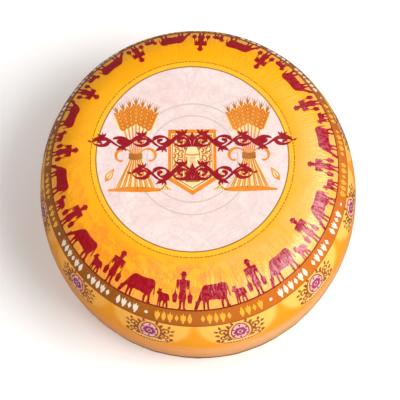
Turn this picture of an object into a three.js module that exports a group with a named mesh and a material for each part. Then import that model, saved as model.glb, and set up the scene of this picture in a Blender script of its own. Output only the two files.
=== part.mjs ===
// A whole wheel of semi-hard cheese with a printed film label glued over its top, shoulder and wall.
// Millimetres, +Z up. The origin is the middle of the base, on the surface that the wheel stands on.
// The wheel is a low drum: flat on top and underneath, with a full round shoulder and a tighter
// lower edge, and slightly longer from front (-Y) to back than it is wide, as a cheese is that has
// settled on its shelf.

import * as THREE from "three";

// Driving dimensions
const WHEEL_RADIUS = 117; // mean radius at the widest level, over the label
const WHEEL_HEIGHT = 111; // from the base to the top of the label
const WIDEST_LEVEL = 44.5; // height of the widest level above the base
const TOP_FLAT_RADIUS = 70.5; // where the flat top starts to roll over into the shoulder
const BASE_FLAT_RADIUS = 100.5; // where the flat base starts to roll up into the wall
const SHOULDER_FULLNESS = 2.2; // superellipse exponent of the shoulder: 2 is a plain ellipse
const LOWER_EDGE_FULLNESS = 2.5; // the same for the lower edge, which is a little squarer
const LONG_AXIS_ANGLE = THREE.MathUtils.degToRad(-82); // direction of the wheel's longer diameter
const OUT_OF_ROUND = 0.0247; // share by which that radius is longer, and the one across it shorter
const FILM_THICKNESS = 0.5;
const FILM_GAP = 0.3; // clearance between the film and the rind
const HEM_LEVEL = 9; // height of the label's lower hem above the base

// How finely the curves are divided
const ROUND_SEGMENTS = 72;
const SHOULDER_STEPS = 10;
const LOWER_EDGE_STEPS = 7;

// A quarter of a superellipse, from (flatRadius, flatLevel) out to the widest level, both ends in.
function quarter(flatRadius, flatLevel, fullness, steps) {
  const reach = WHEEL_RADIUS - flatRadius;
  const rise = flatLevel - WIDEST_LEVEL;
  const points = [];
  for (let i = 0; i <= steps; i++) {
    const turn = (Math.PI / 2) * (i / steps);
    const out = Math.pow(Math.abs(Math.sin(turn)), 2 / fullness);
    const up = Math.pow(Math.abs(Math.cos(turn)), 2 / fullness);
    points.push(new THREE.Vector2(flatRadius + reach * out, WIDEST_LEVEL + rise * up));
  }
  return points;
}

// The wheel's outer outline over the label, from the flat top's edge down to the flat base's edge.
function outline() {
  const shoulder = quarter(TOP_FLAT_RADIUS, WHEEL_HEIGHT, SHOULDER_FULLNESS, SHOULDER_STEPS);
  const lowerEdge = quarter(BASE_FLAT_RADIUS, 0, LOWER_EDGE_FULLNESS, LOWER_EDGE_STEPS);
  return [...shoulder, ...lowerEdge.reverse().slice(1)];
}

// The same outline moved inwards along its own normals. The base keeps its level.
function inset(points, depth) {
  return points.map((point, i) => {
    const before = points[Math.max(i - 1, 0)];
    const after = points[Math.min(i + 1, points.length - 1)];
    const along = new THREE.Vector2().subVectors(after, before).normalize();
    const inwards = new THREE.Vector2(along.y, -along.x);
    if (i === 0) inwards.set(0, -1);
    if (i === points.length - 1) inwards.set(-1, 0);
    return point.clone().addScaledVector(inwards, depth);
  });
}

// The part of an outline that lies above the hem, ending exactly on it.
function downToHem(points) {
  const last = points.findIndex((point) => point.y < HEM_LEVEL);
  const [above, below] = [points[last - 1], points[last]];
  const share = (above.y - HEM_LEVEL) / (above.y - below.y);
  return [...points.slice(0, last), above.clone().lerp(below, share)];
}

// Turns a closed outline about Z and presses the round shape a little out of round.
function turned(points) {
  const geometry = new THREE.LatheGeometry(points, ROUND_SEGMENTS);
  geometry.rotateX(Math.PI / 2);
  const place = geometry.attributes.position;
  for (let i = 0; i < place.count; i++) {
    const x = place.getX(i);
    const y = place.getY(i);
    const angle = Math.atan2(y, x) - LONG_AXIS_ANGLE;
    const share = Math.pow(Math.hypot(x, y) / WHEEL_RADIUS, 3);
    const stretch = 1 + OUT_OF_ROUND * Math.cos(2 * angle) * share;
    place.setXY(i, x * stretch, y * stretch);
  }
  return geometry;
}

function cheese() {
  const skin = inset(outline(), FILM_THICKNESS + FILM_GAP);
  const top = new THREE.Vector2(0, skin[0].y);
  const middle = new THREE.Vector2(0, 0);
  const mesh = new THREE.Mesh(
    turned([top, ...skin, middle].reverse()),
    new THREE.MeshStandardMaterial({ color: 0xeda43c, roughness: 0.45, metalness: 0 }),
  );
  mesh.name = "cheese";
  return mesh;
}

function printedLabel() {
  const outside = downToHem(outline());
  const inside = downToHem(inset(outline(), FILM_THICKNESS));
  const topOutside = new THREE.Vector2(0, WHEEL_HEIGHT);
  const topInside = new THREE.Vector2(0, WHEEL_HEIGHT - FILM_THICKNESS);
  const section = [topOutside, ...outside, ...inside.reverse(), topInside];
  const mesh = new THREE.Mesh(
    turned(section.reverse()),
    new THREE.MeshStandardMaterial({ color: 0xfbb01c, roughness: 0.35, metalness: 0 }),
  );
  mesh.name = "printed_label";
  return mesh;
}

const wheel = new THREE.Group();
wheel.add(cheese(), printedLabel());

export default wheel;
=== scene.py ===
import math
import random
from math import cos, pi, radians, sin

import bmesh
import bpy
from mathutils import Matrix, Vector, noise


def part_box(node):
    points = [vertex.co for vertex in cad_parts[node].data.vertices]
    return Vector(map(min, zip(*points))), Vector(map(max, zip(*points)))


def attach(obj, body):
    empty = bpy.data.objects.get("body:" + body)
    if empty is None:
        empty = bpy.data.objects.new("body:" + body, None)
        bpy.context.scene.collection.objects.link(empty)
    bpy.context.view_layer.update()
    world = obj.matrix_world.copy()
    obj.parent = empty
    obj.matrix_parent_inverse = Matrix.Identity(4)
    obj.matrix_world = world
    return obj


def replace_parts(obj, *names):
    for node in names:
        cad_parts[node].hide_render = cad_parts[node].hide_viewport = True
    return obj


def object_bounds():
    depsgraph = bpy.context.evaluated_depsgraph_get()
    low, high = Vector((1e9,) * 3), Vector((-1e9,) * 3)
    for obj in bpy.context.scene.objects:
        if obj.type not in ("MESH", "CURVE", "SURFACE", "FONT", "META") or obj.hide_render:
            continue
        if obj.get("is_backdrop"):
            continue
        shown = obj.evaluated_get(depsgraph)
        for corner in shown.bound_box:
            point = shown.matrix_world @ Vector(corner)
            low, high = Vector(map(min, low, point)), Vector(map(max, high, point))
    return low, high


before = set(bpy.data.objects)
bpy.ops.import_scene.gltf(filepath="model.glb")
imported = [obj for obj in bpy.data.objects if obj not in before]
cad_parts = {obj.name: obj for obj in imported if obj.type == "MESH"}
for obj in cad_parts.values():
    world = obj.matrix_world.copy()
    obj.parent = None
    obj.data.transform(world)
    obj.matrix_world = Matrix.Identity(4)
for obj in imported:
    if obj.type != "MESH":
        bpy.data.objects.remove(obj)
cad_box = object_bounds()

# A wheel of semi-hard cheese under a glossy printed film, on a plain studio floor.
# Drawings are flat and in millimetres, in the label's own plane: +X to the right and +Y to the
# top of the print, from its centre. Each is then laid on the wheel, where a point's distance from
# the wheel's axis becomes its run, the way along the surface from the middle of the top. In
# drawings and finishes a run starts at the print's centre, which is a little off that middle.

MM = 0.001

# ---------------------------------------------------------------- the wheel's shape

label_low, label_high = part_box("printed_label")
RADIUS = (label_high[0] - label_low[0] + label_high[1] - label_low[1]) / 4 / MM
HEIGHT = label_high[2] / MM
HEM_LEVEL = label_low[2] / MM
WIDEST_LEVEL = 44.5
TOP_FLAT_RADIUS = 70.5
BASE_FLAT_RADIUS = 100.5
SHOULDER_FULLNESS = 2.2
LOWER_EDGE_FULLNESS = 2.5
LONG_AXIS_ANGLE = radians(-82)
OUT_OF_ROUND = 0.0247

# Depths below the CAD label's outside. The film's relief swings either way by RELIEF.
FILM_TOP = 0.4
FILM_BACK = 0.6
RIND = 0.88
RELIEF = 0.24
IN_FILM = FILM_TOP + 0.02  # the back of a print that lies on the film itself
GROUND_TOP = FILM_TOP - 0.03  # the outside of a print that others lie on
IN_GROUND = FILM_TOP - 0.01  # the back of those others
PRINT_TOP = FILM_TOP - 0.1
PLEATS_START, PLEATS_GROW_OVER = 138, 30  # the run where pleats start, and how soon they are full
LIFT_STEP = 0.0025  # between copies in one print, so that no two outer faces lie in one plane
LIFTS = 5

PRINT_SHIFT = Vector((-3.4, 6.5))  # the print's centre, off the wheel's own


def quarter(flat_radius, flat_level, fullness, steps=240):
    """A superellipse quarter as (radius, level), from the flat's edge to the widest level."""
    points = []
    for step in range(steps + 1):
        turn = pi / 2 * step / steps
        out = abs(sin(turn)) ** (2 / fullness)
        up = abs(cos(turn)) ** (2 / fullness)
        radius = flat_radius + (RADIUS - flat_radius) * out
        points.append(Vector((radius, WIDEST_LEVEL + (flat_level - WIDEST_LEVEL) * up)))
    return points


class Outline:
    """The wheel's outside, from the middle of its top to the middle of its base, by the run."""

    STEP = 0.25

    def __init__(self):
        shoulder = quarter(TOP_FLAT_RADIUS, HEIGHT, SHOULDER_FULLNESS)
        lower_edge = quarter(BASE_FLAT_RADIUS, 0, LOWER_EDGE_FULLNESS)
        corners = [Vector((0, HEIGHT)), *shoulder, *lower_edge[-2::-1], Vector((0, 0))]
        self.spots = [corners[0]]
        travelled = 0.0
        for start, end in zip(corners, corners[1:]):
            length = (end - start).length
            while len(self.spots) * self.STEP <= travelled + length:
                share = (len(self.spots) * self.STEP - travelled) / length
                self.spots.append(start.lerp(end, share))
            travelled += length
        self.spots.append(corners[-1])
        self.length = travelled

    def at(self, run):
        place = max(0.0, min(run, self.length)) / self.STEP
        index = min(int(place), len(self.spots) - 2)
        return self.spots[index].lerp(self.spots[index + 1], min(place - index, 1.0))

    def outward(self, run):
        """The outward direction, as (out from the axis, up)."""
        along = self.at(run + 2 * self.STEP) - self.at(run - 2 * self.STEP)
        return Vector((-along.y, along.x)).normalized()

    def run_at_level(self, level):
        return self.STEP * next(i for i, spot in enumerate(self.spots) if spot.y < level)


OUTLINE = Outline()
HEM_RUN = OUTLINE.run_at_level(HEM_LEVEL)


def wheel_point(angle, run, depth):
    """A point (mm) that deep under the outside, at an angle about the axis and a run."""
    spot = OUTLINE.at(run)
    outward = OUTLINE.outward(run)
    radius = spot.x - outward.x * depth
    stretch = 1 + OUT_OF_ROUND * cos(2 * (angle - LONG_AXIS_ANGLE)) * (radius / RADIUS) ** 3
    across = radius * stretch
    return Vector((across * cos(angle), across * sin(angle), spot.y - outward.y * depth))


def relief(angle, run):
    """How far the glued film stands up or sinks: soft dents, and pleats towards the hem."""
    spot = OUTLINE.at(run)
    place = Vector((spot.x * cos(angle), spot.x * sin(angle), spot.y))
    height = 0.26 * noise.noise(place * 0.021) + 0.1 * noise.noise(place * 0.055)
    pleated = max(0.0, min((run - PLEATS_START) / PLEATS_GROW_OVER, 1.0))
    if pleated:
        folds = Vector((cos(angle) * 15, sin(angle) * 15, run * 0.012))
        height += 0.3 * pleated * noise.noise(folds)
    return max(-RELIEF, min(height, RELIEF))


def laid(x, y, depth):
    """Where a point of the flat print ends up on the wheel, in metres."""
    x += PRINT_SHIFT.x
    y += PRINT_SHIFT.y
    angle, run = math.atan2(y, x), math.hypot(x, y)
    return wheel_point(angle, run, depth - relief(angle, run)) * MM


def laid_normal(x, y, depth):
    """The outward direction of the film there."""
    reach = 0.6
    across = laid(x + reach, y, depth) - laid(x - reach, y, depth)
    upwards = laid(x, y + reach, depth) - laid(x, y - reach, depth)
    return across.cross(upwards).normalized()


# ---------------------------------------------------------------- flat drawings


def drawn(*outlines, fineness=4):
    """A filled flat mesh inside smooth closed outlines. A doubled point stays a sharp corner."""
    curve = bpy.data.curves.new("drawing", "CURVE")
    curve.dimensions = "2D"
    curve.fill_mode = "BOTH"
    for points in outlines:
        spline = curve.splines.new("NURBS")
        spline.points.add(len(points) - 1)
        for knot, (x, y) in zip(spline.points, points):
            knot.co = (x, y, 0, 1)
        spline.use_cyclic_u = True
        spline.order_u = 3
        spline.resolution_u = fineness
    holder = bpy.data.objects.new("drawing", curve)
    mesh = bpy.data.meshes.new_from_object(holder)
    bpy.data.objects.remove(holder)
    bpy.data.curves.remove(curve)
    return gridded(mesh)


def gridded(mesh, step=2.0):
    """Cuts a flat mesh along a square grid, so that it can follow the wheel's curves."""
    flat = bmesh.new()
    flat.from_mesh(mesh)
    bmesh.ops.remove_doubles(flat, verts=flat.verts[:], dist=1e-4)
    bmesh.ops.dissolve_limit(flat, angle_limit=0.01, verts=flat.verts[:], edges=flat.edges[:])
    for axis in (0, 1):
        normal = Vector((axis == 0, axis == 1, 0))
        places = [vert.co[axis] for vert in flat.verts]
        first, last = math.ceil(min(places) / step), math.floor(max(places) / step)
        for line in range(first, last + 1):
            bmesh.ops.bisect_plane(
                flat,
                geom=flat.verts[:] + flat.edges[:] + flat.faces[:],
                dist=1e-4,
                plane_co=normal * line * step,
                plane_no=normal,
            )
    flat.to_mesh(mesh)
    flat.free()
    return mesh


def ring(inner, outer, steps, turns=240):
    """A flat ring round the print's centre, or a disc where inner is 0."""
    flat = bmesh.new()
    chain = [
        flat.verts.new((inner + (outer - inner) * step / steps, 0, 0)) for step in range(steps + 1)
    ]
    rungs = [flat.edges.new(pair) for pair in zip(chain, chain[1:])]
    bmesh.ops.spin(
        flat,
        geom=chain + rungs,
        axis=(0, 0, 1),
        cent=(0, 0, 0),
        angle=2 * pi,
        steps=turns,
        use_merge=True,
    )
    bmesh.ops.remove_doubles(flat, verts=flat.verts[:], dist=1e-4)
    mesh = bpy.data.meshes.new("ring")
    flat.to_mesh(mesh)
    flat.free()
    return mesh


def stroke(path, widths):
    """The outline of a pen stroke along a path of (x, y), as wide as widths says at each point."""
    path = [Vector(point) for point in path]
    left, right = [], []
    for index, (point, width) in enumerate(zip(path, widths)):
        before, after = path[max(index - 1, 0)], path[min(index + 1, len(path) - 1)]
        along = (after - before).normalized()
        aside = Vector((-along.y, along.x)) * width / 2
        left.append(tuple(point + aside))
        right.append(tuple(point - aside))
    return [left[0], *left, left[-1], right[-1], *reversed(right), right[0]]


def penned(path, thin=0.7, thick=2.5, nib=35):
    """The outline of a broad-nib pen stroke: thin where it runs along the nib, thick across it."""
    path = [Vector(point) for point in path]
    widths = []
    for index in range(len(path)):
        along = path[min(index + 1, len(path) - 1)] - path[max(index - 1, 0)]
        bearing = math.atan2(along.y, along.x) - radians(nib)
        widths.append(thin + (thick - thin) * abs(sin(bearing)))
    widths[0] = widths[-1] = thin * 0.5
    return stroke(path, widths)


def curl(x, y, reach, start, turns, inner=0.28, flat=1.0, steps=10):
    """A path that winds in towards a point, anticlockwise where turns is above 0."""
    path = []
    for step in range(steps + 1):
        share = step / steps
        angle = start + 2 * pi * turns * share
        radius = reach * (1 - (1 - inner) * share)
        path.append((x + radius * cos(angle), y + flat * radius * sin(angle)))
    return path


def leaf(length, width, belly=0.35, bend=0.0):
    """A leaf's outline, pointed at both ends, from the origin along +X, its tip bent aside."""
    return [
        (0, 0),
        (0, 0),
        (belly * length, width * 0.62 + bend * 0.2),
        (0.75 * length, width * 0.3 + bend * 0.5),
        (length, bend),
        (length, bend),
        (0.75 * length, -width * 0.3 + bend * 0.4),
        (belly * length, -width * 0.62),
    ]


def oval(wide, tall, x=0.0, y=0.0, points=10):
    """An oval's outline. The factor makes up for the smoothing, which cuts its corners."""
    grow = 1 / cos(pi / points)
    turns = [2 * pi * step / points for step in range(points)]
    return [(x + grow * wide / 2 * cos(t), y + grow * tall / 2 * sin(t)) for t in turns]


# ---------------------------------------------------------------- placing drawings


def as_drawn(x, y):
    return x, y


def moved(x=0.0, y=0.0, turn=0.0, grow=1.0, mirror=False):
    """A placing that grows, turns and shifts a drawing in the print's plane."""
    matrix = Matrix.Translation((x, y, 0)) @ Matrix.Rotation(turn, 4, "Z") @ Matrix.Scale(grow, 4)
    if mirror:
        matrix = Matrix.Scale(-1, 4, (1, 0, 0)) @ matrix

    def place(at_x, at_y):
        return tuple((matrix @ Vector((at_x, at_y, 0))).xy)

    return place


def standing(turn, foot):
    """A placing that stands a drawing on a ring, with its head towards the print's centre."""
    foot_radius = OUTLINE.at(foot).x

    def place(x, y):
        angle, run = turn + x / foot_radius, foot - y
        return run * cos(angle), run * sin(angle)

    return place


def then(inner, outer):
    """One placing after another."""
    return lambda x, y: outer(*inner(x, y))


def round_the_ring(first_degrees, count, foot):
    """Equal places round a ring, each standing on it."""
    return [standing(radians(first_degrees + 360 / count * i), foot) for i in range(count)]


# ---------------------------------------------------------------- from drawing to piece


def keep_piece(name, mesh, finish):
    piece = bpy.data.objects.new(name, mesh)
    bpy.context.scene.collection.objects.link(piece)
    mesh.materials.clear()
    mesh.materials.append(finish)
    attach(piece, "root")
    return piece


def lay(name, artwork, finish, depth, back):
    """Lays (mesh, placings) pairs on the wheel as one thin closed piece between two depths."""
    sheet = bmesh.new()
    copies = [(mesh, place) for mesh, placings in artwork for place in placings]
    for number, (mesh, place) in enumerate(copies):
        first = len(sheet.verts)
        sheet.from_mesh(mesh)
        sheet.verts.ensure_lookup_table()
        for vert in sheet.verts[first:]:
            vert.co = (*place(vert.co.x, vert.co.y), LIFT_STEP * (number % LIFTS))
    raised = bmesh.ops.extrude_face_region(sheet, geom=sheet.faces[:], use_keep_orig=True)["geom"]
    raised = [part for part in raised if isinstance(part, bmesh.types.BMVert)]
    bmesh.ops.translate(sheet, vec=(0, 0, 1), verts=raised)
    bmesh.ops.recalc_face_normals(sheet, faces=sheet.faces[:])
    print_map = sheet.loops.layers.uv.new("print")
    for face in sheet.faces:
        face.smooth = True
        for corner in face.loops:
            corner[print_map].uv = corner.vert.co.xy / 100
    outside = {}
    for index, vert in enumerate(sheet.verts):
        x, y, high = vert.co
        if high < 1:
            vert.co = laid(x, y, back)
        else:
            outside[index] = laid_normal(x, y, depth)
            vert.co = laid(x, y, depth - (high - 1))
    mesh = bpy.data.meshes.new(name)
    sheet.to_mesh(mesh)
    sheet.free()
    shade_by_surface(mesh, outside)
    return keep_piece(name, mesh, finish)


def shade_by_surface(mesh, outside):
    """Gives a print's outer faces the film's own direction, so that one gloss runs over both."""
    directions = []
    for face in mesh.polygons:
        outer = all(vert in outside for vert in face.vertices)
        directions += [outside[vert] if outer else face.normal.copy() for vert in face.vertices]
    mesh.normals_split_custom_set(directions)


# ---------------------------------------------------------------- finishes


def srgb(red, green, blue):
    """A colour as a paint chart gives it, from 0 to 255, as Blender's linear one."""
    parts = [part / 255 for part in (red, green, blue)]
    return (*[p / 12.92 if p <= 0.04045 else ((p + 0.055) / 1.055) ** 2.4 for p in parts], 1.0)


class Signal:
    """A number in a finish. Sums and products on it add Math nodes."""

    def __init__(self, finish, socket):
        self.finish = finish
        self.socket = socket

    def math(self, operation, *others):
        inputs = dict(enumerate((self, *others)))
        return self.finish.node("ShaderNodeMath", {"operation": operation}, inputs)

    def __add__(self, other):
        return self.math("ADD", other)

    def __mul__(self, other):
        return self.math("MULTIPLY", other)

    def __sub__(self, other):
        return self.math("SUBTRACT", other)

    def __rsub__(self, other):
        return self * -1 + other

    def __truediv__(self, other):
        return self.math("DIVIDE", other)

    def __abs__(self):
        return self.math("ABSOLUTE")

    __radd__ = __add__
    __rmul__ = __mul__

    def clamped(self):
        return self.math("MAXIMUM", 0.0).math("MINIMUM", 1.0)

    def past(self, edge, softness):
        """0 before an edge and 1 after it."""
        return ((self - edge) / softness + 0.5).clamped()

    def between(self, low, high, softness):
        return self.past(low, softness) * (1 - self.past(high, softness))


class Finish:
    """A material, built from nodes."""

    def __init__(self, name):
        self.material = bpy.data.materials.new(name)
        self.material.use_nodes = True
        self.tree = self.material.node_tree
        self.surface = self.tree.nodes["Principled BSDF"]
        self.spot = self.node("ShaderNodeTexCoord", output="Object")

    def node(self, kind, settings=None, inputs=None, output=0):
        made = self.tree.nodes.new(kind)
        for setting, value in (settings or {}).items():
            setattr(made, setting, value)
        for socket, value in (inputs or {}).items():
            self.feed(made.inputs[socket], value)
        return Signal(self, made.outputs[output])

    def feed(self, socket, value):
        if isinstance(value, Signal):
            self.tree.links.new(value.socket, socket)
        else:
            socket.default_value = value

    def set(self, **values):
        for name, value in values.items():
            self.feed(self.surface.inputs[name.replace("_", " ")], value)

    def mixed(self, share, first, second):
        """first where share is 0 and second where it is 1."""
        settings = {"data_type": "RGBA"}
        # Sockets 6 and 7 take the colours, and output 2 gives one.
        return self.node("ShaderNodeMix", settings, {0: share, 6: first, 7: second}, output=2)

    def noise(self, scale, detail=3.0, roughness=0.5, at=None, distortion=0.0):
        inputs = {
            "Vector": at or self.spot,
            "Scale": scale,
            "Detail": detail,
            "Roughness": roughness,
            "Distortion": distortion,
        }
        return self.node("ShaderNodeTexNoise", {}, inputs, output="Fac")

    def print_spot(self):
        """Where it is in the label's plane, in millimetres: x, y and the run from the centre."""
        place = self.node("ShaderNodeUVMap", {"uv_map": "print"})
        run = self.node("ShaderNodeVectorMath", {"operation": "LENGTH"}, {0: place}, output="Value")
        parts = self.node("ShaderNodeSeparateXYZ", {}, {0: place})
        x = Signal(self, parts.socket.node.outputs[0])
        y = Signal(self, parts.socket.node.outputs[1])
        return x * 100, y * 100, run * 100

    def print_place(self):
        """The run from the print's centre in millimetres, and the turn about it in degrees."""
        x, y, run = self.print_spot()
        return run, y.math("ARCTAN2", x) * math.degrees(1)

    def every(self, turn, first, spacing):
        """How many degrees a turn is from the nearest of equal places."""
        past_last = (turn - (first - spacing / 2) + 720).math("FLOORED_MODULO", spacing)
        return abs(past_last - spacing / 2)

    def puckers(self):
        """Fine pleats of the shrunk film, long ones that run straight down its shoulder."""
        x, y, run = self.print_spot()
        parts = {"X": x / run * 44, "Y": y / run * 44, "Z": run * 0.11}
        spot = self.node("ShaderNodeCombineXYZ", {}, parts)
        return self.noise(1, detail=2, at=spot, distortion=0.5) * run.between(76, 112, 16)

    def film_gloss(self, rough=0.23):
        """The glossy film over every print: creases, ridges, a fine crinkle and a clear coat."""
        creases = self.noise(42, detail=4, roughness=0.55, distortion=0.4)
        ridges = 1 - abs(self.noise(17, detail=2, distortion=1.2) - 0.5).past(0.035, 0.07)
        crinkle = self.noise(330, detail=3, roughness=0.6, distortion=0.6)
        height = creases * 0.9 + ridges * 0.22 + crinkle * 0.34 + self.puckers() * 1.15
        bump = {"Strength": 0.55, "Distance": 0.0011, "Height": height}
        rub = self.noise(28, detail=5, roughness=0.62)
        self.set(
            Roughness=rough - 0.06 + rub * 0.14,
            Normal=self.node("ShaderNodeBump", {}, bump),
            Coat_Weight=0.12,
            Coat_Roughness=0.12,
            Specular_IOR_Level=0.45,
        )
        return self.material


# Runs of the film's own soft zones: where its wall starts, hidden under the band, how far the pale
# scallops hang down from there, where the lower wall starts, and a dark stripe round the wheel.
WALL_START = 107
SCALLOP_TOP, SCALLOP_REACH = 110, 29
SCALLOP_HALF_DEGREES = 15.2
LOWER_WALL_START = 140
DARK_STRIPE_START, DARK_STRIPE_END = 165.5, 173.5

YELLOW = srgb(252, 172, 6)
DEEP_YELLOW = srgb(250, 160, 4)
PEACH = srgb(247, 172, 92)
SOFT_YELLOW = srgb(253, 198, 92)


def border_paint(film, run, turn, wash, wash_and_sheen_side):
    """The yellow border round the roundel, with faint sketches and a paler lower right that is
    partly a print wash and partly painted highlight.
    """
    border = film.mixed(wash.past(0.55, 0.3) * 0.6, YELLOW, DEEP_YELLOW)
    sketch = film.noise(46, detail=6, roughness=0.68, distortion=2.6)
    lower_left = 1 - film.every(turn, -118, 360).past(62, 60)
    sketched = sketch.between(0.5, 0.6, 0.05) * lower_left * 0.75 * run.past(72, 6)
    border = film.mixed(sketched, border, srgb(243, 134, 30))
    border = film.mixed(run.past(96, 16) * 0.5, border, PEACH)
    inside_beading = run.between(64, 67.7, 0.5)
    border = film.mixed(inside_beading * 0.55, border, srgb(255, 190, 52))
    # Paler at the lower right: partly a pale print wash, partly painted highlight where the glare
    # falls.
    wash_and_sheen = wash_and_sheen_side * (0.3 + wash.past(0.5, 0.3) * 0.55) * run.past(70, 10)
    return film.mixed(wash_and_sheen * 0.54, border, srgb(250, 208, 138))


def wall_paint(film, run, turn, wash, wash_and_sheen_side):
    """The orange wall, with its scallops and peaks, peach lower part and a dark stripe; scallops
    and lower wall are paler at the lower right, partly print wash and partly painted highlight.
    """
    aside = film.every(turn, FIRST_ROSETTE, 360 / FRIEZE_REPEATS) / SCALLOP_HALF_DEGREES
    low = (run - SCALLOP_TOP) / SCALLOP_REACH
    scallop = 1 - (aside * aside + low * low).past(0.92, 0.32)
    peak = (1 - scallop) * run.between(112, 137.5, 5)
    wall = film.mixed(wash.past(0.5, 0.35) * 0.6, srgb(252, 158, 30), srgb(250, 144, 14))
    # Scallops paler at the lower right: partly print, partly painted highlight of the glare.
    wall = film.mixed(scallop * (0.44 + wash_and_sheen_side * 0.4), wall, SOFT_YELLOW)
    wall = film.mixed(peak, wall, srgb(246, 154, 2))
    wall = film.mixed(run.past(LOWER_WALL_START, 8) * 0.85, wall, srgb(249, 158, 70))
    # The lower wall paler at the lower right: partly a print wash, partly painted highlight.
    lower_wall_wash_and_sheen = wash_and_sheen_side * run.past(LOWER_WALL_START + 1, 8)
    wall = film.mixed(lower_wall_wash_and_sheen * 0.7, wall, srgb(247, 184, 124))
    # A dark stripe round the lower wall, just under its widest level.
    dark_stripe = run.between(DARK_STRIPE_START, DARK_STRIPE_END, 0.4)
    return film.mixed(dark_stripe * 0.9, wall, srgb(104, 34, 22))


def film_finish():
    """Yellow as far as the band, and orange with pale scallops and peaks between them below it."""
    film = Finish("printed_film")
    run, turn = film.print_place()
    wash = film.noise(24, detail=5, roughness=0.6, distortion=0.8)
    # The lower right of the print, where the glare falls: its paler colour there is partly a print
    # wash and partly painted highlight.
    wash_and_sheen_side = 1 - film.every(turn, -38, 360).past(56, 52)
    border = border_paint(film, run, turn, wash, wash_and_sheen_side)
    wall = wall_paint(film, run, turn, wash, wash_and_sheen_side)
    film.set(Base_Color=film.mixed(run.past(WALL_START, 1), border, wall))
    return film.film_gloss()


def ink_finish(name, colour, worn, share=0.4, glare_fleck=0.0):
    """A printing ink under the film's gloss, uneven where it is thin, with pink flecks of painted
    glare that are faint everywhere and strongest at the right.
    """
    ink = Finish(name)
    thin = ink.noise(60, detail=5, roughness=0.65)
    grain = ink.noise(900, detail=1)
    paint = ink.mixed((thin.past(0.56, 0.3) * 0.8 + grain * 0.4) * share, colour, worn)
    if glare_fleck:
        # Pink flecks of painted highlight: the glare's sparkle laid into the ink, faint everywhere
        # and strongest at the right.
        glare_speckle = ink.noise(480, detail=3, roughness=0.7).past(0.54, 0.14)
        turn = ink.print_place()[1]
        right = 1 - ink.every(turn, -30, 360).past(52, 60)
        paint = ink.mixed(glare_speckle * (right * 0.88 + 0.12) * glare_fleck, paint, srgb(212, 80, 114))
    ink.set(Base_Color=paint)
    return ink.film_gloss()


def paper_finish():
    """Pale pink marbled paper with faint lilac-grey veins, broad ones and fine ones."""
    paper = Finish("marbled_paper")
    clouds = paper.noise(30, detail=5, roughness=0.6, distortion=1.4)
    broad = abs(paper.noise(24, detail=3, roughness=0.55, distortion=3.2) - 0.5)
    veins = abs(paper.noise(44, detail=3, roughness=0.5, distortion=3.0) - 0.5)
    crumple = abs(paper.noise(95, detail=3, distortion=2.2) - 0.5)
    colour = paper.mixed(clouds.past(0.52, 0.35), srgb(238, 220, 213), srgb(233, 202, 196))
    colour = paper.mixed((1 - broad.past(0.03, 0.06)) * 0.3, colour, srgb(212, 182, 182))
    colour = paper.mixed((1 - veins.past(0.02, 0.045)) * 0.3, colour, srgb(202, 174, 176))
    colour = paper.mixed((1 - crumple.past(0.012, 0.03)) * 0.25, colour, srgb(206, 186, 176))
    paper.set(Base_Color=colour)
    return paper.film_gloss(rough=0.3)


def band_finish():
    """The brown-orange band, with painted shade that makes it darker and browner round its left
    side.
    """
    band = Finish("band_ink")
    run, turn = band.print_place()
    wash = band.noise(40, detail=5, roughness=0.65)
    # Painted shade: the band turns darker and browner round its left side, where less light falls.
    side = band.every(turn, 150, 360)
    brown = band.mixed(wash, srgb(172, 96, 18), srgb(146, 76, 12))
    orange = band.mixed(wash, srgb(212, 114, 28), srgb(194, 96, 16))
    colour = band.mixed(side.past(126, 60), brown, orange)
    colour = band.mixed(run.past(113.2, 1.2) * 0.6, colour, srgb(132, 66, 12))
    band.set(Base_Color=colour)
    return band.film_gloss()


def rind_finish():
    """The cheese's own coated rind: deep orange, with scuffs and the print of its shelf."""
    rind = Finish("coated_rind")
    tone = rind.noise(26, detail=6, roughness=0.62)
    scuff = rind.noise(120, detail=4, roughness=0.7)
    pore = rind.noise(520, detail=2)
    colour = rind.mixed(tone.past(0.5, 0.4), srgb(226, 140, 44), srgb(204, 112, 30))
    colour = rind.mixed(scuff.past(0.62, 0.12) * 0.4, colour, srgb(238, 176, 88))
    colour = rind.mixed(pore.past(0.68, 0.1) * 0.5, colour, srgb(168, 86, 24))
    slats = rind.node(
        "ShaderNodeTexWave",
        {"wave_type": "BANDS", "bands_direction": "X"},
        {"Vector": rind.spot, "Scale": 9.0, "Distortion": 1.2, "Detail": 2.0},
        output="Fac",
    )
    height = tone * 0.8 + scuff * 0.25 + slats.past(0.2, 0.3) * 0.3 + pore * 0.06
    bump = {"Strength": 0.5, "Distance": 0.0012, "Height": height}
    rind.set(
        Base_Color=colour,
        Roughness=0.42 + scuff * 0.2,
        Normal=rind.node("ShaderNodeBump", {}, bump),
        Coat_Weight=0.2,
        Coat_Roughness=0.3,
    )
    return rind.material


# ---------------------------------------------------------------- the cheese and its film


def make_cheese():
    """The whole wheel under its film, down to its base."""
    disc = ring(0, OUTLINE.length, steps=130, turns=240)
    wheel = bmesh.new()
    wheel.from_mesh(disc)
    for vert in wheel.verts:
        angle, run = math.atan2(vert.co.y, vert.co.x), vert.co.xy.length
        vert.co = wheel_point(angle, run, RIND) * MM
    # The base goes back down to the floor.
    for vert in wheel.verts:
        if vert.co.z < 2 * RIND * MM:
            vert.co.z = max(vert.co.z - RIND * MM, 0.0)
    bmesh.ops.remove_doubles(wheel, verts=wheel.verts[:], dist=1e-5)
    bmesh.ops.recalc_face_normals(wheel, faces=wheel.faces[:])
    for face in wheel.faces:
        face.smooth = True
    wheel.to_mesh(disc)
    wheel.free()
    disc.name = "cheese_wheel"
    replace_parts(keep_piece("cheese_wheel", disc, rind_finish()), "cheese")


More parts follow.
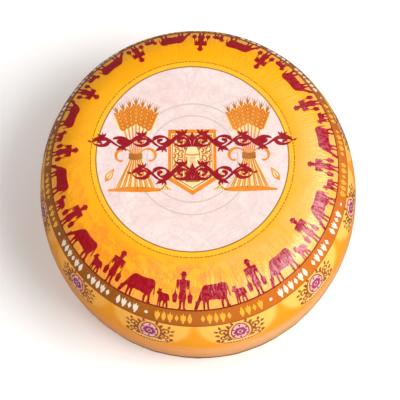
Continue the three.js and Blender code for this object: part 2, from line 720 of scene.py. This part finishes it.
def make_film():
    """The printed film over the top, shoulder and wall."""
    disc = ring(0, HEM_RUN, steps=112, turns=320)
    to_wheel_centre = moved(-PRINT_SHIFT.x, -PRINT_SHIFT.y)
    film = lay("label_film", [(disc, [to_wheel_centre])], film_finish(), FILM_TOP, FILM_BACK)
    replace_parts(film, "printed_label")


# ---------------------------------------------------------------- the frieze of farm figures

GROUND_RUN = 101.4
FRIEZE_REPEATS = 12
FIRST_CARRIER = -94.3  # in degrees, as are the other first places
COW_GROWTH = 1.06


def both_sides(half):
    """A figure's outline from its right half, drawn from the top down."""
    return half + [(-x, y) for x, y in reversed(half)]


def milk_carrier():
    """A farm hand with a flat hat, a yoke over the shoulders and a smock, walking."""
    half = [
        (0.6, 24.8), (1.8, 24.6), (1.8, 23.3), (2.8, 23.2), (2.8, 22.4), (1.7, 22.3), (1.7, 20.8),
        (1.1, 20.0), (1.2, 19.6), (3.0, 19.4), (5.1, 19.3), (5.2, 18.1), (4.5, 17.6), (4.7, 15.8),
        (4.1, 13.6), (3.2, 13.3), (3.1, 15.2), (2.6, 15.4), (2.0, 12.6), (2.7, 9.0), (2.8, 7.4),
        (2.1, 7.2), (1.9, 4.2), (1.7, 1.4), (2.6, 0.8), (2.6, 0.0), (0.7, 0.0), (0.6, 2.0),
        (0.3, 5.6),
    ]
    return drawn(both_sides(half))


def pail():
    """A pail on its cord, hanging from the yoke's end at x 4.9."""
    return drawn(
        [
            (5.05, 18.4), (5.2, 11.4), (6.5, 9.8), (6.9, 9.4), (6.9, 8.9), (6.4, 5.0), (6.0, 4.6),
            (4.2, 4.6), (3.8, 5.0), (3.3, 8.9), (3.3, 9.4), (3.7, 9.8), (4.8, 11.4), (4.7, 18.4),
        ]
    )


def grazing_cow():
    """A cow with its muzzle in the grass, facing left."""
    return drawn(
        [
            (0.5, 0.4), (0.4, 1.4), (1.4, 4.4), (1.0, 5.6), (2.2, 5.6), (3.2, 8.0), (5.0, 12.0),
            (6.6, 14.6), (8.6, 15.4), (13.0, 14.9), (18.0, 15.2), (20.6, 15.5), (22.6, 14.6),
            (23.3, 12.0), (23.4, 8.6), (23.8, 6.4), (23.0, 6.0), (22.8, 8.6), (22.5, 11.0),
            (21.9, 8.4), (21.0, 6.6), (21.6, 3.2), (21.7, 0.0), (20.2, 0.0), (20.3, 3.2),
            (19.2, 5.6), (18.3, 3.4), (18.6, 0.0), (17.2, 0.0), (16.9, 3.4), (17.2, 6.0),
            (16.2, 5.0), (15.2, 6.0), (12.0, 5.9), (9.6, 6.4), (9.3, 3.4), (9.5, 0.0), (8.2, 0.0),
            (8.2, 3.4), (7.8, 5.8), (7.1, 3.4), (6.9, 0.0), (5.7, 0.0), (5.9, 3.6), (5.5, 6.8),
            (4.3, 5.4), (3.4, 3.4), (2.4, 0.8), (1.6, 0.3),
        ]
    )


def calf():
    """A calf looking back to the left."""
    return drawn(
        [
            (0.1, 8.6), (0.1, 9.4), (1.2, 11.0), (0.6, 12.2), (2.0, 11.7), (3.6, 12.4),
            (3.1, 10.8), (3.8, 9.6), (6.6, 9.6), (8.4, 9.4), (9.3, 7.6), (9.6, 5.0), (9.0, 4.6),
            (8.7, 6.2), (8.2, 4.2), (8.8, 2.2), (8.7, 0.0), (7.6, 0.0), (7.5, 2.2), (6.9, 3.9),
            (6.3, 2.0), (6.4, 0.0), (5.4, 0.0), (5.4, 2.4), (5.6, 4.4), (4.2, 4.4), (4.0, 2.2),
            (4.1, 0.0), (3.1, 0.0), (3.1, 2.4), (2.9, 4.0), (2.6, 2.2), (2.6, 0.0), (1.7, 0.0),
            (1.8, 2.6), (1.8, 6.0), (1.5, 8.0), (0.8, 8.3),
        ]
    )


def make_frieze(depth):
    """Twelve carriers, each followed by a grazing cow and her calf, on the ground line."""
    # The figures carry pink flecks of painted glare, strongest at the right.
    dark_red = ink_finish("dark_red_ink", srgb(148, 2, 10), srgb(172, 14, 32), share=0.5, glare_fleck=0.8)
    carriers = round_the_ring(FIRST_CARRIER, FRIEZE_REPEATS, GROUND_RUN)
    cow_spots = round_the_ring(FIRST_CARRIER + 4.3, FRIEZE_REPEATS, GROUND_RUN)
    cows = [then(moved(grow=COW_GROWTH), place) for place in cow_spots]
    calves = round_the_ring(FIRST_CARRIER + 19.6, FRIEZE_REPEATS, GROUND_RUN)
    bucket = pail()
    mirrored = [then(moved(mirror=True), place) for place in carriers]
    artwork = [
        (milk_carrier(), carriers),
        (bucket, carriers + mirrored),
        (grazing_cow(), cows),
        (calf(), calves),
    ]
    lay("frieze_figures", artwork, dark_red, depth, IN_FILM)
    grass = drawn([(-1.1, 0), (-1.5, 2.2), (-0.6, 0.8), (0, 2.6), (0.5, 0.8), (1.5, 1.9), (1.1, 0)])
    tufts = round_the_ring(FIRST_CARRIER + 17.3, FRIEZE_REPEATS, GROUND_RUN)
    line = ring(GROUND_RUN - 0.35, GROUND_RUN + 0.6, steps=2, turns=360)
    brown_red = ink_finish("ground_line_ink", srgb(116, 30, 12), srgb(150, 58, 20))
    artwork = [(line, [as_drawn]), (grass, tufts)]
    lay("ground_line", artwork, brown_red, depth, IN_FILM)


# ---------------------------------------------------------------- the band and its ornaments

BAND_START = 101.9
BAND_END = 113.9
ORNAMENT_FOOT = 111.6
ORNAMENT_SEGMENTS = 8
FIRST_SEGMENT = -129.5
UNITS_PER_SEGMENT = 17
UNIT_DEGREES = 2.3
BLANK_UNITS = (6, 12)


def tulip():
    """A three-pointed flower on a short stalk."""
    half = [(0, 0), (0.6, 0), (0.6, 1.5), (1.7, 2.7), (1.8, 6.8), (1.8, 6.8), (0.9, 5.2), (0, 7.9)]
    return drawn(both_sides(half))


def upright_leaf():
    half = [(0, 0), (1.6, 2.8), (1.3, 5.2), (0, 7.9)]
    return drawn(both_sides(half))


def small_lozenge():
    half = [(0, 1.2), (1.4, 3.9), (1.4, 3.9), (0, 6.6)]
    return drawn(both_sides(half))


def band_row(first_segment, shapes):
    """Every other segment of the ornament row: its shapes in turn."""
    places = [[] for _ in shapes]
    for segment in range(0, ORNAMENT_SEGMENTS, 2):
        middle = first_segment + 360 / ORNAMENT_SEGMENTS * segment
        for unit in range(UNITS_PER_SEGMENT):
            turn = middle + UNIT_DEGREES * (unit - (UNITS_PER_SEGMENT - 1) / 2)
            if unit not in BLANK_UNITS:
                places[unit % len(shapes)].append(standing(radians(turn), ORNAMENT_FOOT))
    return list(zip(shapes, places))


def make_band(depth):
    """The band under the frieze, with its row of tulips and leaves in white and in yellow."""
    band = ring(BAND_START, BAND_END, steps=6, turns=300)
    lay("band", [(band, [as_drawn])], band_finish(), GROUND_TOP, IN_FILM)
    white = ink_finish("white_ink", srgb(248, 234, 212), srgb(240, 204, 150))
    yellow = ink_finish("yellow_ink", srgb(246, 176, 52), srgb(232, 150, 36))
    dot = drawn(oval(2.2, 2.2, y=3.8))
    shapes = (tulip(), upright_leaf(), tulip(), small_lozenge())
    dots = round_the_ring(FIRST_SEGMENT + 22.5, ORNAMENT_SEGMENTS, ORNAMENT_FOOT)
    white_row = band_row(FIRST_SEGMENT, shapes) + [(dot, dots)]
    yellow_row = band_row(FIRST_SEGMENT + 45, shapes)
    lay("band_flowers_white", white_row, white, depth, IN_GROUND)
    lay("band_flowers_yellow", yellow_row, yellow, depth, IN_GROUND)


# ---------------------------------------------------------------- rosettes on the wall

ROSETTE_FOOT = 136.0
FIRST_ROSETTE = -75.0
ROSETTE_MIDDLE = 12.0  # the height of a rosette's middle above its foot


# Where each leaf of a rosette's right-hand sprig grows, and which way in degrees.
SPRIG_LEAVES = (
    (4.6, 19.8, 75),
    (6.4, 18.6, 20),
    (7.6, 17.0, 85),
    (8.2, 15.4, 35),
    (12.6, 17.6, 60),
    (14.2, 15.4, 10),
    (13.6, 12.2, -20),
    (8.4, 11.8, 25),
    (8.4, 11.4, -30),
    (13.6, 10.4, 40),
    (13.4, 7.2, -30),
    (11.2, 5.9, -60),
    (7.4, 7.4, -70),
    (5.8, 5.4, -20),
)


def on_each(places, x, y, turn=0.0, mirror=False):
    """The same spot in every rosette."""
    inner = moved(x, y, turn, mirror=mirror)
    return [then(inner, place) for place in places]


def make_rosette_grounds(places):
    """The pale oval behind each flower and the ribbon under it."""
    pale = ink_finish("pale_pink_ink", srgb(244, 186, 172), srgb(232, 150, 148))
    peach = ink_finish("peach_ink", srgb(252, 196, 120), srgb(250, 178, 92))
    cushion = drawn(oval(11.4, 15.8, y=ROSETTE_MIDDLE))
    lay("rosette_grounds", [(cushion, places)], pale, GROUND_TOP, IN_FILM)
    path = [(-14, 5), (-8, 2.2), (0, 1.2), (8, 2.2), (14, 5)]
    ribbon = drawn(stroke(path, [2.6, 3.0, 3.2, 3.0, 2.6]))
    lay("ribbon_grounds", [(ribbon, places)], peach, GROUND_TOP, IN_FILM)


def make_flowers(places, depth):
    """The flower in each rosette: six petals and a heart, with buds between, in an oval rim."""
    plum = ink_finish("plum_ink", srgb(132, 34, 84), srgb(178, 80, 118), share=0.8)
    rim = drawn(oval(12.4, 16.8, y=ROSETTE_MIDDLE), oval(10.8, 15.0, y=ROSETTE_MIDDLE))
    petal = drawn(oval(2.9, 2.7, x=3.1), fineness=2)
    bud = drawn(leaf(2.4, 1.6, belly=0.5), fineness=2)
    heart = drawn(oval(2.0, 2.6, y=ROSETTE_MIDDLE))
    petals, buds = [], []
    for index in range(6):
        bearing = radians(60 * index)
        petals += on_each(places, 0, ROSETTE_MIDDLE, bearing)
        bearing += radians(30)
        for reach in (2.2, 4.8):
            x, y = 0.8 * reach * cos(bearing), ROSETTE_MIDDLE + reach * sin(bearing)
            buds += on_each(places, x, y, bearing)
    plum_art = [(rim, places), (petal, petals), (bud, buds), (heart, places)]
    lay("rosettes", plum_art, plum, depth, IN_GROUND)


def make_sprigs(places, depth):
    """The curled sprigs at each rosette's sides, and the beads and forked ends of its ribbon."""
    brown = ink_finish("brown_ink", srgb(130, 62, 38), srgb(176, 104, 54), share=0.8)
    both = places + [then(moved(mirror=True), place) for place in places]
    sprig_leaf = drawn(leaf(3.3, 1.8, bend=0.5), fineness=2)
    wreath = [(3.4, 20.6), (7.2, 17.8), (8.4, 12.6), (7.4, 7.4), (4.2, 4.2)]
    stems = [drawn(stroke(wreath, [0.5, 1.2, 1.3, 1.2, 0.5]), fineness=2)]
    for winding in (curl(11.4, 14.8, 2.9, pi, -1.15), curl(11.2, 8.8, 2.6, pi, 1.15)):
        stems.append(drawn(penned(winding, thin=0.6, thick=1.4), fineness=2))
    leaves = []
    for mirror in (False, True):
        for x, y, degrees in SPRIG_LEAVES:
            leaves += on_each(places, x, y, radians(degrees), mirror)
    ribbon_edge = [(-14, 3.8), (-8, 0.8), (0, -0.3), (8, 0.8), (14, 3.8)]
    fork = drawn([(13.6, 3.6), (13.6, 3.6), (16.4, 5.2), (15.2, 6.2), (16.0, 8.0), (13.8, 6.6)])
    bead = drawn(leaf(1.3, 1.5, belly=0.5), fineness=2)
    beads = []
    for index in range(-6, 7):
        beads += on_each(places, index * 1.9, 1.2 + 0.03 * index * index)
    brown_art = [(sprig_leaf, leaves)] + [(stem, both) for stem in stems]
    brown_art += [(drawn(stroke(ribbon_edge, [0.5] * 5)), places), (fork, both), (bead, beads)]
    lay("sprigs_and_ribbons", brown_art, brown, depth, IN_GROUND)


def make_rosettes(depth):
    """Twelve flower rosettes with curled sprigs at their sides and a beaded ribbon under them."""
    places = round_the_ring(FIRST_ROSETTE, FRIEZE_REPEATS, ROSETTE_FOOT)
    make_rosette_grounds(places)
    make_flowers(places, depth)
    make_sprigs(places, depth)


# ---------------------------------------------------------------- the middle of the top

PAPER_RADIUS = 64.0
RING_LINE = 67.8


def make_roundel(depth):
    """The marbled paper disc, its edge line and the beaded line round it."""
    paper = ring(0, PAPER_RADIUS - 0.3, steps=24, turns=180)
    lay("roundel_paper", [(paper, [as_drawn])], paper_finish(), GROUND_TOP, IN_FILM)
    edge = ring(PAPER_RADIUS - 0.35, PAPER_RADIUS + 0.45, steps=1, turns=240)
    olive = ink_finish("olive_brown_ink", srgb(150, 98, 34), srgb(184, 128, 48))
    lay("roundel_edge", [(edge, [as_drawn])], olive, depth, IN_FILM)
    random.seed(3)
    dash = drawn(stroke([(-0.85, 0), (0.85, 0)], [0.7, 0.7]), fineness=2)
    count = 190
    amber = ink_finish("amber_ink", srgb(170, 104, 8), srgb(206, 134, 20), share=0.6)
    turns = [2 * pi * (index + random.uniform(-0.14, 0.14)) / count for index in range(count)]
    dashes = [standing(turn, RING_LINE) for turn in turns]
    lay("roundel_beading", [(dash, dashes)], amber, depth, IN_FILM)
    circles = [ring(r - 0.45, r + 0.45, steps=1, turns=160) for r in (30.0, 38.4)]
    grey = ink_finish("faint_grey_ink", srgb(206, 184, 174), srgb(224, 202, 192))
    low_circles = [(circle, [moved(0, -1.2)]) for circle in circles]
    lay("faint_circles", low_circles, grey, FILM_TOP - 0.045, IN_GROUND)


SHEAF_MIDDLE = 37.5  # how far each sheaf stands from the middle of the print
SHEAF_FOOT = -22
EARS = 7
GRAIN_PAIRS = 5
GRAINS_APART = 2.7


class EmblemArt:
    """The emblem's drawings with their placings, sorted by ink."""

    def __init__(self):
        self.orange = []
        self.pale = []
        self.umber = []


def sheaf_ear(index):
    """The foot of an ear's head and the way it leans, for the ears from the sheaf's middle out."""
    top = Vector((index * 2.5, 23.0 - abs(index) * 1.6))
    return top, radians(90 - index * 7)


def draw_ears(here, art):
    """The stalks, from the ground through the tie, and their ears with grains and awns."""
    grain = drawn(leaf(5.2, 2.1, belly=0.45))
    grain_line = drawn(stroke([(0.6, 0), (4.4, 0)], [0.5, 0.2]), fineness=2)
    awn = drawn(stroke([(0, 0), (3.2, 0.3), (6.6, 0)], [0.5, 0.4, 0.2]), fineness=2)
    backing = drawn(leaf(23, 7.4, belly=0.5))
    for index in range(-(EARS // 2), EARS // 2 + 1):
        top, lean = sheaf_ear(index)
        along = Vector((cos(lean), sin(lean)))
        foot = Vector((index * 3.7, SHEAF_FOOT + abs(index) * 0.3))
        waist = Vector((index * 0.74, 1))
        path = [foot, foot.lerp(waist, 0.6), waist, waist.lerp(top, 0.5), top]
        art.orange.append((drawn(stroke(path, [1.3, 1.2, 0.7, 0.9, 1.0])), [here()]))
        aside = Vector((1.4 * (1 if index >= 0 else -1), 0))
        art.umber.append((drawn(stroke([foot + aside, waist], [0.5, 0.3])), [here()]))
        behind = top - along * 5
        art.pale.append((backing, [here(behind.x, behind.y, lean)]))
        grains = []
        for pair in range(GRAIN_PAIRS):
            spot = top + along * pair * GRAINS_APART
            grains += [here(spot.x, spot.y, lean + hand * 0.5) for hand in (-1, 1)]
        tip = top + along * GRAINS_APART * GRAIN_PAIRS
        grains.append(here(tip.x, tip.y, lean))
        art.orange.append((grain, grains))
        art.umber.append((grain_line, grains))
        art.umber.append((awn, [here(tip.x, tip.y, lean + twist) for twist in (-0.3, 0, 0.3)]))


def draw_tie(here, art):
    """The broad tie round the sheaf's waist, with a curled blade at either side."""
    blade = drawn(penned(curl(9, 0, 7.5, pi, -0.8, inner=0.3), thin=0.7, thick=2.2))
    art.orange.append((blade, [here(), then(moved(mirror=True), here())]))
    tie = [(-4.6, -1.4), (-4.6, -1.4), (0, -2.2), (4.6, -1.4), (4.6, -1.4)]
    tie += [(x * 0.96, y + 4.4) for x, y in reversed(tie)]
    art.umber.append((drawn(tie), [here()]))
    cord = drawn(stroke([(-4.4, 0.4), (0, -0.4), (4.4, 0.4)], [0.6, 0.7, 0.6]))
    art.orange.append((cord, [here()]))


def draw_ground(here, art):
    """The strip of ground that the sheaf stands on, a tuft at its inner end and two lone leaves."""
    ground = drawn(stroke([(-18, -22.8), (-6, -22), (8, -22.4), (17, -22.6)], [1.2, 3.6, 3.8, 1.6]))
    art.orange.append((ground, [here()]))
    tuft = [here(13 + step * 2.2, -23.5, radians(20 + step * 24)) for step in range(6)]
    art.pale.append((drawn(leaf(7.5, 3.0)), tuft))
    art.umber.append((drawn(stroke([(0.8, 0), (6.4, 0)], [0.5, 0.25])), tuft))
    frond, middle = leaf(11, 4.4), (5.5, 0)
    spots = [here(-20, -17, radians(58)), here(19.5, -16, radians(118), 0.8)]
    art.orange.append((drawn(frond, shrunk(frond, 0.66, middle)), spots))
    art.pale.append((drawn(shrunk(frond, 0.8, middle)), spots))
    art.umber.append((drawn(stroke([(2, 0), (8.4, 0)], [0.6, 0.3])), spots))


def draw_sheaf(side, art):
    """One bound sheaf of wheat on its strip of ground; side carries it to its own half."""

    def here(x=0.0, y=0.0, turn=0.0, grow=1.0):
        return then(then(moved(x, y, turn, grow), moved(-SHEAF_MIDDLE, 0)), side)

    half = [(13.5, SHEAF_FOOT), (13.5, SHEAF_FOOT), (3.4, 0), (4.2, 4)]
    skirt = [(-x, y) for x, y in reversed(half)] + half
    art.pale.append((drawn(skirt), [here()]))
    draw_ears(here, art)
    draw_tie(here, art)
    draw_ground(here, art)


PLAQUE_SIDE = [(16, 19), (16, 19), (16, -16), (16, -16), (0, -26.4)]
CHURN_SIDE = [
    (0, 14.6), (3.4, 14.6), (4.2, 13.8), (4.0, 12.2), (3.2, 11.6), (3.2, 8.8), (5.4, 4.8),
    (6.4, 1.6), (6.4, -15.0), (5.8, -17.0), (4.8, -17.6), (0, -17.6),
]
CHURN_SLIMNESS = 0.84


def shrunk(corners, by, middle=(0, -2)):
    """A closed outline drawn in towards a point, to a share of its size."""
    at_x, at_y = middle
    return [(at_x + (x - at_x) * by, at_y + (y - at_y) * by) for x, y in corners]


def draw_plaque(art):
    """A pointed plaque with a frame, strewn with small curled leaves beside its middle."""
    corners = both_sides(PLAQUE_SIDE)
    art.pale.append((drawn(shrunk(corners, 0.9)), [as_drawn]))
    art.orange.append((drawn(corners, shrunk(corners, 0.87)), [as_drawn]))
    line = drawn(shrunk(corners, 0.83), shrunk(corners, 0.8))
    art.umber.append((line, [as_drawn]))
    comma = drawn(stroke([(-1.5, -0.7), (0.1, 0.8), (1.4, -0.5)], [0.7, 1.5, 0.6]), fineness=2)
    in_umber, in_orange = [], []
    for column in range(-5, 6):
        for row in range(-7, 8):
            x = column * 2.3 + random.uniform(-0.3, 0.3)
            y = row * 2.1 + random.uniform(-0.3, 0.3)
            place = moved(x, y, random.uniform(-pi, pi))
            churn_half = 6.6 if y < 5 else 4.2
            if abs(x) > churn_half:
                (in_umber if (column + row) % 2 else in_orange).append(place)
    art.umber.append((comma, in_umber))
    art.orange.append((comma, in_orange))


def draw_churn(art):
    """A milk churn with its lid, two handles and two hoops, shaded down its left side."""
    churn = both_sides([(x * CHURN_SLIMNESS, y) for x, y in CHURN_SIDE])
    rim = drawn(churn, shrunk(churn, 0.9, middle=(0, -1.5)))
    handle = drawn(stroke([(2.7, 10.6), (4.9, 10.6), (5.4, 8.0), (4.9, 4.6)], [0.9] * 4))
    art.umber += [(rim, [as_drawn]), (handle, [as_drawn, moved(mirror=True)])]
    lid = stroke([(-3.2, 13.2), (0, 13.8), (3.2, 13.2)], [2.0, 2.2, 2.0])
    hoops = [stroke([(-4.9, y), (0, y - 0.9), (4.9, y)], [1.0, 1.1, 1.0]) for y in (1.8, -12.4)]
    shade = stroke([(-3.8, 0.2), (-4.0, -5), (-3.8, -11.6)], [1.0, 1.8, 1.0])
    art.orange += [(drawn(shape), [as_drawn]) for shape in (lid, shade, *hoops)]
    hatch = drawn(stroke([(0, 0), (4.0, 0.2)], [0.35, 0.22]), fineness=2)
    hatches = [moved(-1.6 + random.uniform(-0.4, 0.4), -10.6 + 0.9 * row) for row in range(12)]
    art.umber.append((hatch, hatches))


def make_emblem(depth):
    """Two wheat sheaves beside a plaque with a milk churn, in orange, pale gold and umber."""
    random.seed(5)
    art = EmblemArt()
    for side in (as_drawn, moved(mirror=True)):
        draw_sheaf(side, art)
    draw_plaque(art)
    draw_churn(art)
    orange = ink_finish("orange_ink", srgb(222, 120, 8), srgb(236, 150, 52), share=0.8)
    pale = ink_finish("pale_gold_ink", srgb(252, 224, 176), srgb(250, 206, 140), share=0.8)
    umber = ink_finish("umber_ink", srgb(158, 92, 26), srgb(190, 128, 56), share=0.8)
    lay("emblem_pale", art.pale, pale, depth + 0.04, IN_GROUND)
    lay("emblem_orange", art.orange, orange, depth + 0.02, IN_GROUND)
    lay("emblem_umber", art.umber, umber, depth, IN_GROUND)


def scroll_half(length, middle, swing, hollows):
    """Half of a leafy scroll: a waving stem, and a curled branch with a berry in each hollow."""
    art = []
    half_wave = length / hollows
    broad_leaf, slim_leaf = drawn(leaf(7.4, 2.7, bend=1.6)), drawn(leaf(4.8, 1.7, bend=1.0))
    berry = drawn(oval(2.3, 2.3))
    broad, slim, berries = [], [], []

    def fade(x):
        return 1 - 0.3 * x / length

    def stem(x):
        return Vector((x, middle + swing * fade(x) * sin(pi * x / half_wave)))

    samples = 8 * hollows
    path = [stem(length * step / samples) for step in range(samples + 1)]
    art.append((drawn(penned(path, thin=0.9, thick=2.9, nib=20)), [as_drawn]))
    for index in range(hollows):
        up = 1 if index % 2 == 0 else -1
        x = half_wave * (index + 0.5)
        grow = fade(x)
        reach = half_wave * 0.47
        flat = swing * grow / reach * 0.96
        winding = curl(x, middle, reach, 0, -1.2 * up, inner=0.24, flat=flat, steps=14)
        art.append((drawn(penned(winding, thin=0.8, thick=3.0, nib=35)), [as_drawn]))
        berries.append(moved(winding[-1][0], winding[-1][1], 0, grow))
        crest = stem(x - 1.5)
        for lean, places in ((16, broad), (58, slim), (104, slim)):
            places.append(flipped(up, crest.x, crest.y, radians(lean), grow))
        dip = stem(x + half_wave * 0.5)
        slim.append(flipped(up, dip.x, dip.y, radians(12), grow))
    return art + [(broad_leaf, broad), (slim_leaf, slim), (berry, berries)]


def flipped(up, x, y, turn, grow):
    """A placing that grows and turns a drawing, head down where up is -1, and shifts it."""
    turned = moved(0, 0, turn, grow)

    def place(at_x, at_y):
        turned_x, turned_y = turned(at_x, at_y)
        return x + turned_x, y + up * turned_y

    return place


def make_scrolls(depth):
    """Two rows of dark red leafy scroll across the roundel, each its own mirror image."""
    red = ink_finish("scroll_red_ink", srgb(146, 10, 26), srgb(172, 34, 44), share=0.4)
    art = []
    to_the_left = moved(mirror=True)
    for half in (scroll_half(67, 11.0, 4.6, 5), scroll_half(40, -11.4, 5.6, 3)):
        for mesh, placings in half:
            mirrored = [then(place, to_the_left) for place in placings]
            art.append((mesh, placings + mirrored))
    petal = drawn(leaf(9.0, 2.9, belly=0.6))
    palmettes = []
    for foot, grow in ((7.0, 1.0), (-16.4, 1.15)):
        for lean in (90, 50, 130, 14, 166):
            palmettes.append(moved(0, foot, radians(lean), grow * (1.2 if lean == 90 else 0.8)))
    art.append((petal, palmettes))
    lay("leafy_scrolls", art, red, depth, IN_GROUND)


# ---------------------------------------------------------------- studio and camera


def make_camera():
    """Looks down on the wheel's front from nearly 75 degrees, at arm's length."""
    elevation, roll = radians(74.8), radians(-0.57)
    distance = 0.593
    target = Vector((0.0014, -0.0083, 0.0556))
    back = Vector((0, -cos(elevation), sin(elevation)))
    level = Vector((1, 0, 0))
    up = back.cross(level)
    right = level * cos(roll) + up * sin(roll)
    up = back.cross(right)
    data = bpy.data.cameras.new("camera")
    data.lens = 74.0
    data.sensor_width = 36.0
    camera = bpy.data.objects.new("camera", data)
    turned = Matrix((right, up, back)).transposed().to_4x4()
    camera.matrix_world = Matrix.Translation(target + back * distance) @ turned
    bpy.context.scene.collection.objects.link(camera)
    bpy.context.scene.camera = camera


def add_lamp(name, azimuth, elevation, distance, size, power, glare=True):
    """A square soft lamp that shines on the wheel from that direction, with or without glare."""
    turn, rise = radians(azimuth), radians(elevation)
    away = Vector((cos(turn) * cos(rise), sin(turn) * cos(rise), sin(rise)))
    data = bpy.data.lights.new(name, "AREA")
    data.shape = "SQUARE"
    data.size = size
    data.energy = power
    lamp = bpy.data.objects.new(name, data)
    lamp.location = away * distance + Vector((0, 0, 0.05))
    lamp.rotation_mode = "QUATERNION"
    lamp.rotation_quaternion = away.to_track_quat("Z", "Y")
    lamp.visible_glossy = glare
    bpy.context.scene.collection.objects.link(lamp)


def make_studio():
    """A near-white floor under soft lamps, the strongest of them at the front right."""
    scene = bpy.context.scene
    floor_mesh = bpy.data.meshes.new("studio_floor")
    flat = bmesh.new()
    bmesh.ops.create_grid(flat, x_segments=1, y_segments=1, size=4.0)
    flat.to_mesh(floor_mesh)
    flat.free()
    floor = bpy.data.objects.new("studio_floor", floor_mesh)
    scene.collection.objects.link(floor)
    floor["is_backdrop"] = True
    floor.visible_glossy = False
    pale = Finish("studio_floor")
    pale.set(Base_Color=srgb(252, 252, 251), Roughness=0.9)
    floor_mesh.materials.append(pale.material)
    world = bpy.data.worlds.new("studio")
    world.use_nodes = True
    world.node_tree.nodes["Background"].inputs["Color"].default_value = (1, 1, 1, 1)
    world.node_tree.nodes["Background"].inputs["Strength"].default_value = 0.12
    scene.world = world
    scene.view_settings.view_transform = "Standard"
    add_lamp("front_right_softbox", -17, 46, 2.6, 1.5, 67)
    add_lamp("right_back_softbox", 34, 48, 3.0, 2.2, 20)
    add_lamp("left_fill", 155, 52, 3.0, 2.6, 38, glare=False)
    add_lamp("low_front_softbox", -94, 14, 2.4, 1.6, 20, glare=False)


make_camera()
make_cheese()
make_film()
make_roundel(PRINT_TOP + 0.03)
make_emblem(PRINT_TOP)
make_scrolls(PRINT_TOP - 0.02)
make_band(PRINT_TOP + 0.015)
make_frieze(PRINT_TOP + 0.02)
make_rosettes(PRINT_TOP + 0.015)
make_studio()

sizes = {"cad": cad_box, "visual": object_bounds()}
{which: [list(corner) for corner in box] for which, box in sizes.items()}
